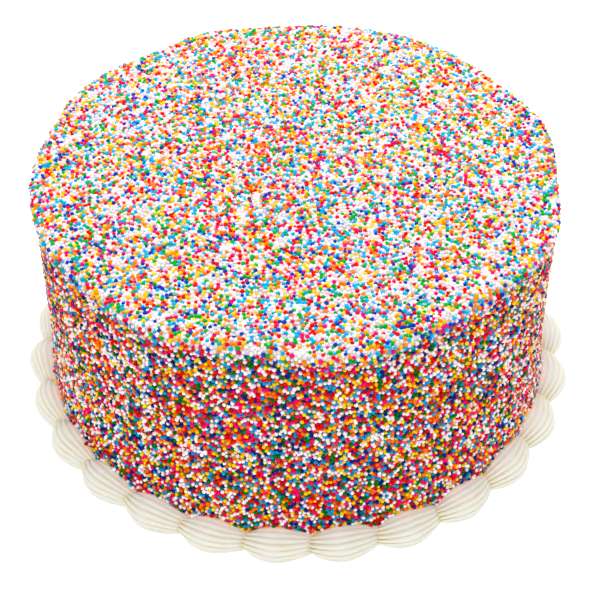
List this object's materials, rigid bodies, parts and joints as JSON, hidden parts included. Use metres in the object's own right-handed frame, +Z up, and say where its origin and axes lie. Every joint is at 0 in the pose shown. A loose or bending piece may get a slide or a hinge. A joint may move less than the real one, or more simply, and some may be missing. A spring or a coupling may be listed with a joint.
{
  "type": "sprinkle cake",
  "caption": "Round tall layer cake, uncut, coated all over in tiny coloured ball sprinkles, with a border of piped ivory buttercream shells round its foot.",
  "frame": {"origin": "middle of the cake's flat base, on the surface it stands on", "axes": "+Z up, along the cake's height; the picture's view looks along +Y and down; +X to the right"},
  "size_m": [0.2412, 0.2415, 0.1069],
  "materials": {
    "sprinkle_coat": "sugar balls with a thin glaze, in white, red, orange, yellow, green, light blue, dark blue and pink",
    "buttercream": "satin whipped buttercream, ivory, with soft nozzle ridges"
  },
  "bodies": {
    "root": {"cake": "sprinkle_coat", "shell_border": "buttercream"}
  },
  "joints": []
}
